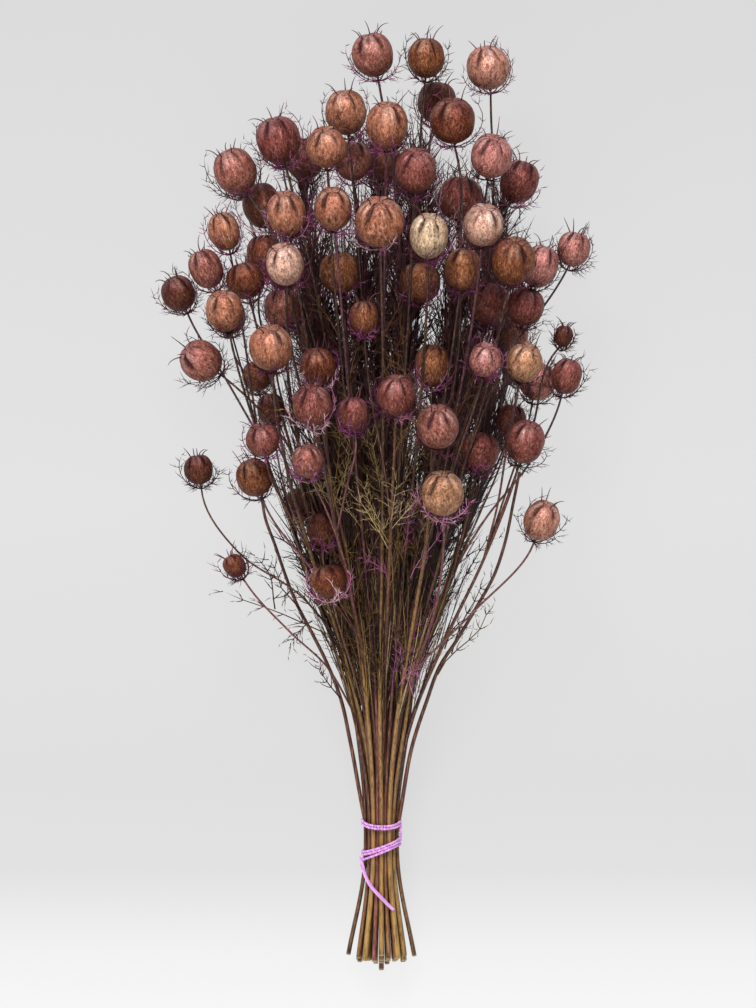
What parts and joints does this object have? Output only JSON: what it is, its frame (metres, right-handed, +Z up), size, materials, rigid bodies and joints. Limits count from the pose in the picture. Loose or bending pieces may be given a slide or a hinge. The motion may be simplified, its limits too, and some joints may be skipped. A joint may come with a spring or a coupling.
{
  "type": "bunch of dried nigella seed pods",
  "caption": "Tied bunch of dried nigella stems with inflated ribbed seed pods, pointed styles and thread-like bracts, lying on its side.",
  "frame": {"origin": "middle of the bounding box's underside, on the surface that the bunch lies on", "axes": "+Y along the bunch from the cut ends to the heads, +Z up from the surface, +X to the right when the heads point away"},
  "size_m": [0.2719, 0.6055, 0.1972],
  "materials": {
    "dried_copper": "matte dried husk",
    "dried_rose": "matte dried husk",
    "dried_tan": "matte dried husk",
    "tie_yarn": "soft yarn"
  },
  "bodies": {
    "root": {"stem_01": "dried_copper", "stem_02": "dried_rose", "stem_03": "dried_tan", "stem_04": "dried_copper", "stem_05": "dried_rose", "stem_06": "dried_tan", "stem_07": "dried_copper", "stem_08": "dried_rose", "stem_09": "dried_tan", "stem_10": "dried_copper", "stem_11": "dried_rose", "stem_12": "dried_tan", "stem_13": "dried_copper", "stem_14": "dried_rose", "stem_15": "dried_tan", "stem_16": "dried_copper", "stem_17": "dried_rose", "stem_18": "dried_tan", "stem_19": "dried_copper", "stem_20": "dried_rose", "stem_21": "dried_tan", "stem_22": "dried_copper", "stem_23": "dried_rose", "stem_24": "dried_tan", "stem_25": "dried_copper", "stem_26": "dried_rose", "stem_27": "dried_tan", "stem_28": "dried_copper", "stem_29": "dried_rose", "stem_30": "dried_tan", "stem_31": "dried_copper", "stem_32": "dried_rose", "stem_33": "dried_tan", "stem_34": "dried_copper", "stem_35": "dried_rose", "stem_36": "dried_tan", "stem_37": "dried_copper", "stem_38": "dried_rose", "stem_39": "dried_tan", "stem_40": "dried_copper", "stem_41": "dried_rose", "stem_42": "dried_tan", "stem_43": "dried_copper", "tie": "tie_yarn"}
  },
  "joints": []
}
